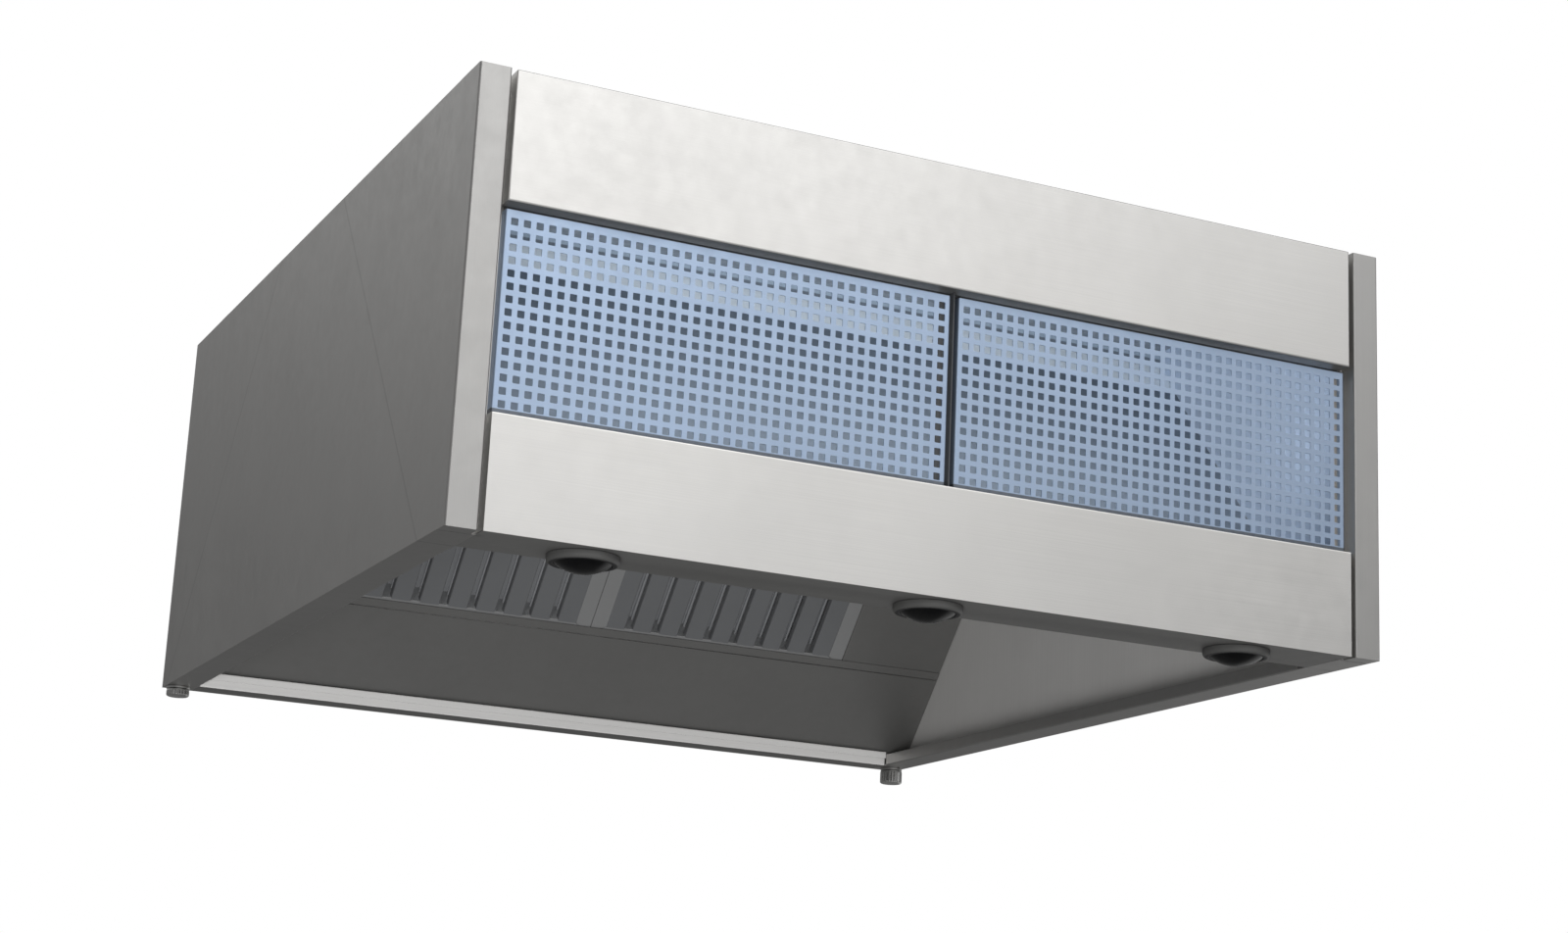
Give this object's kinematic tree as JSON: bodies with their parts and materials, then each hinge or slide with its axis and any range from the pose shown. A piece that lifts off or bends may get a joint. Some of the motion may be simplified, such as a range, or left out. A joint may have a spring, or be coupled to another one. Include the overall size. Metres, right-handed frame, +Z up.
{
  "type": "wall-mounted kitchen extraction canopy",
  "caption": "Stainless wall canopy: perforated fresh-air front plenum, sloping lift-out baffle filters, drip channel with drain, downlights, duct spigots and ceiling hangers.",
  "frame": {"origin": "centre of the flat rear face that goes against the wall", "axes": "+Z up, +Y towards the wall, so the front faces -Y; +X to the right of someone facing the front"},
  "size_m": [1.4, 1.48, 0.709],
  "materials": {
    "satin_steel": "satin, fine horizontal grain",
    "inner_steel": "dull satin",
    "perforated_steel": "satin with a protective blue film tint",
    "filter_steel": "satin",
    "galvanised_steel": "spangled zinc",
    "bright_steel": "polished",
    "dark_trim": "satin black",
    "lamp_black": "satin black",
    "smoked_glass": "glossy smoked glass",
    "lamp_white": "matte",
    "box_grey": "moulded, fine texture",
    "black_rubber": "matte"
  },
  "bodies": {
    "casing": {"left_end_panel": "satin_steel", "right_end_panel": "satin_steel", "rear_panel": "satin_steel", "top_fascia": "satin_steel", "bottom_fascia": "satin_steel", "rear_gutter": "satin_steel", "plenum_back": "inner_steel", "light_soffit": "inner_steel", "exhaust_apron": "inner_steel", "filter_ledge": "inner_steel", "filter_head_channel": "inner_steel", "left_blanking_panel": "inner_steel", "right_blanking_panel": "inner_steel", "roof_panel": "galvanised_steel", "exhaust_spigot": "galvanised_steel", "supply_spigot": "galvanised_steel", "hanger_front_left": "galvanised_steel", "hanger_front_right": "galvanised_steel", "hanger_rear_left": "galvanised_steel", "hanger_rear_right": "galvanised_steel", "hanger_bolt_front_left": "bright_steel", "hanger_bolt_front_right": "bright_steel", "hanger_bolt_rear_left": "bright_steel", "hanger_bolt_rear_right": "bright_steel", "drain_boss": "bright_steel", "plug_boss": "bright_steel", "plug_cap": "bright_steel", "upper_panel_track": "dark_trim", "lower_panel_track": "dark_trim", "panel_mullion": "dark_trim", "left_light_bezel": "bright_steel", "left_light_lens": "smoked_glass", "left_light_can": "lamp_black", "left_light_lamp": "lamp_white", "middle_light_bezel": "bright_steel", "middle_light_lens": "smoked_glass", "middle_light_can": "lamp_black", "middle_light_lamp": "lamp_white", "right_light_bezel": "bright_steel", "right_light_lens": "smoked_glass", "right_light_can": "lamp_black", "right_light_lamp": "lamp_white", "junction_box": "box_grey", "lighting_cable": "black_rubber"},
    "left_panel": {"left_perforated_panel": "perforated_steel"},
    "right_panel": {"right_perforated_panel": "perforated_steel"},
    "left_filter": {"left_filter": "filter_steel"},
    "right_filter": {"right_filter": "filter_steel"},
    "left_filter_handle_1": {"left_filter_handle_1": "bright_steel"},
    "left_filter_handle_2": {"left_filter_handle_2": "bright_steel"},
    "right_filter_handle_1": {"right_filter_handle_1": "bright_steel"},
    "right_filter_handle_2": {"right_filter_handle_2": "bright_steel"},
    "drain_seal": {"drain_seal": "black_rubber"},
    "drain_cap": {"drain_cap": "bright_steel"},
    "damper_blade_1": {"damper_blade_1": "galvanised_steel", "damper_lever": "bright_steel"},
    "damper_blade_2": {"damper_blade_2": "galvanised_steel"},
    "damper_blade_3": {"damper_blade_3": "galvanised_steel"},
    "damper_blade_4": {"damper_blade_4": "galvanised_steel"},
    "damper_link": {"damper_link": "bright_steel"}
  },
  "joints": [
    {"name": "left_panel_lift", "type": "slide", "parent": "casing", "child": "left_panel", "axis": [0, 0, 1], "range_m": [0, 0.0045]},
    {"name": "right_panel_lift", "type": "slide", "parent": "casing", "child": "right_panel", "axis": [0, 0, 1], "range_m": [0, 0.0045]},
    {"name": "left_filter_lift", "type": "slide", "parent": "casing", "child": "left_filter", "axis": [0, -0.6511, 0.759], "range_m": [0, 0.022]},
    {"name": "right_filter_lift", "type": "slide", "parent": "casing", "child": "right_filter", "axis": [0, -0.6511, 0.759], "range_m": [0, 0.022]},
    {"name": "left_filter_handle_1_swing", "type": "hinge", "parent": "left_filter", "child": "left_filter_handle_1", "pos_m": [-0.3485, -0.3272, 0.03624], "axis": [1, 0, 0], "range_deg": [-130, 40]},
    {"name": "left_filter_handle_2_swing", "type": "hinge", "parent": "left_filter", "child": "left_filter_handle_2", "pos_m": [-0.1465, -0.3272, 0.03624], "axis": [1, 0, 0], "range_deg": [-130, 40]},
    {"name": "right_filter_handle_1_swing", "type": "hinge", "parent": "right_filter", "child": "right_filter_handle_1", "pos_m": [0.1465, -0.3272, 0.03624], "axis": [1, 0, 0], "range_deg": [-130, 40]},
    {"name": "right_filter_handle_2_swing", "type": "hinge", "parent": "right_filter", "child": "right_filter_handle_2", "pos_m": [0.3485, -0.3272, 0.03624], "axis": [1, 0, 0], "range_deg": [-130, 40]},
    {"name": "drain_cap_travel", "type": "slide", "parent": "casing", "child": "drain_seal", "axis": [0, 0, -1], "range_m": [0, 0.006]},
    {"name": "drain_cap_turn", "type": "hinge", "parent": "drain_seal", "child": "drain_cap", "pos_m": [0.679, -0.028, -0.3125], "axis": [0, 0, -1], "range_deg": [0, 1050]},
    {"name": "damper_turn", "type": "hinge", "parent": "casing", "child": "damper_blade_1", "pos_m": [0, -1.26875, 0.3325], "axis": [1, 0, 0], "range_deg": [0, 90]},
    {"name": "damper_blade_2_turn", "type": "hinge", "parent": "casing", "child": "damper_blade_2", "pos_m": [0, -1.20625, 0.3325], "axis": [1, 0, 0], "range_deg": [-1, 91]},
    {"name": "damper_blade_3_turn", "type": "hinge", "parent": "casing", "child": "damper_blade_3", "pos_m": [0, -1.14375, 0.3325], "axis": [1, 0, 0], "range_deg": [-1, 91]},
    {"name": "damper_blade_4_turn", "type": "hinge", "parent": "casing", "child": "damper_blade_4", "pos_m": [0, -1.08125, 0.3325], "axis": [1, 0, 0], "range_deg": [-1, 91]},
    {"name": "damper_link_turn", "type": "hinge", "parent": "damper_blade_1", "child": "damper_link", "pos_m": [0.258, -1.25319, 0.34806], "axis": [1, 0, 0], "range_deg": [-91, 1]}
  ],
  "couplings": [
    {"joint": "drain_cap_travel", "follows": "drain_cap_turn", "m_per_rad": 0.00031831},
    {"joint": "damper_blade_2_turn", "follows": "damper_turn", "ratio": 1},
    {"joint": "damper_blade_3_turn", "follows": "damper_turn", "ratio": 1},
    {"joint": "damper_blade_4_turn", "follows": "damper_turn", "ratio": 1},
    {"joint": "damper_link_turn", "follows": "damper_turn", "ratio": -1}
  ]
}
